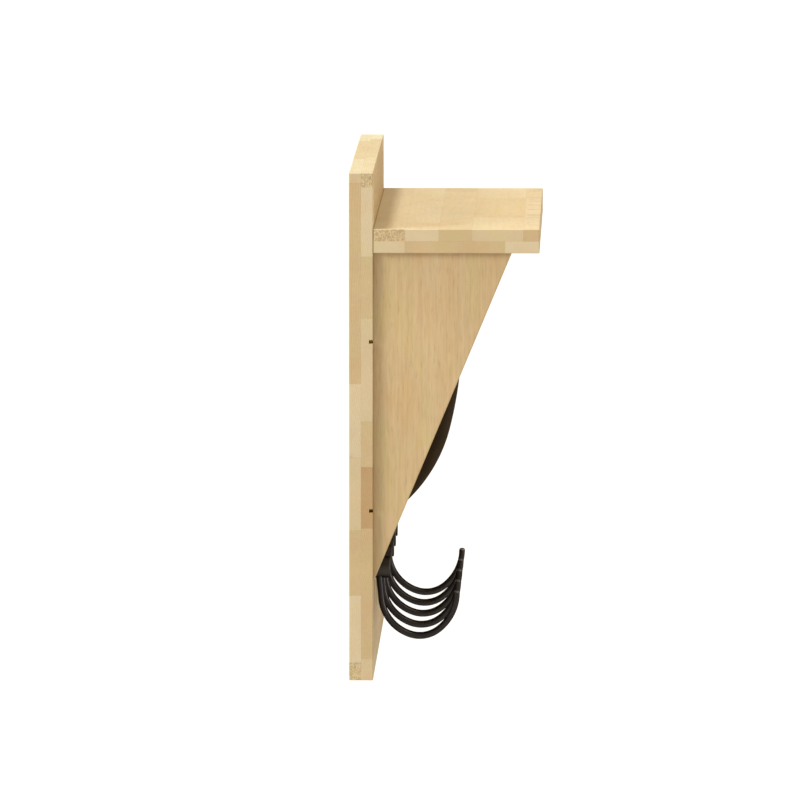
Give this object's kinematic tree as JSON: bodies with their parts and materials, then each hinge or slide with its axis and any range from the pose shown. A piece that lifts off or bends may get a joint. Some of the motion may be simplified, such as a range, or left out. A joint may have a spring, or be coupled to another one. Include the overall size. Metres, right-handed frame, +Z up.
{
  "type": "bicycle wall rack",
  "caption": "Wall-mounted wooden rack with a shelf on triangular side panels, a rubber-sleeved hook for a bicycle wheel and a row of coat hooks below.",
  "frame": {"origin": "centre of the rectangle of wall-fixing holes, on the back face of the board", "axes": "+X along the wall, -Y out into the room, +Z up"},
  "size_m": [0.45, 0.19, 0.51],
  "materials": {
    "board_wood": "clear satin lacquer on finger-jointed laminated softwood",
    "shelf_wood": "clear satin lacquer on finger-jointed laminated softwood",
    "panel_wood": "clear satin lacquer, fine upright grain",
    "dowel_wood": "plain beech",
    "black_steel": "satin black powder coat",
    "black_rubber": "soft matt black",
    "black_screw": "black oxide",
    "zinc_steel": "bright zinc plate"
  },
  "bodies": {
    "root": {"back_board": "board_wood", "shelf_board": "shelf_wood", "side_panel_left": "panel_wood", "side_panel_right": "panel_wood", "shelf_dowels": "dowel_wood", "side_panel_dowels": "dowel_wood", "shelf_screws": "zinc_steel", "side_panel_screws_left": "zinc_steel", "side_panel_screws_right": "zinc_steel", "bike_hook_plate": "black_steel", "bike_hook_bar": "black_steel", "bike_hook_sleeve": "black_rubber", "bike_hook_end_cap": "black_rubber", "bike_hook_screws": "black_screw", "coat_hook_bolts": "zinc_steel", "coat_hook_rod_1": "black_steel", "coat_hook_boss_1": "black_steel", "coat_hook_rod_2": "black_steel", "coat_hook_boss_2": "black_steel", "coat_hook_rod_3": "black_steel", "coat_hook_boss_3": "black_steel", "coat_hook_rod_4": "black_steel", "coat_hook_boss_4": "black_steel", "coat_hook_rod_5": "black_steel", "coat_hook_boss_5": "black_steel"}
  },
  "joints": []
}
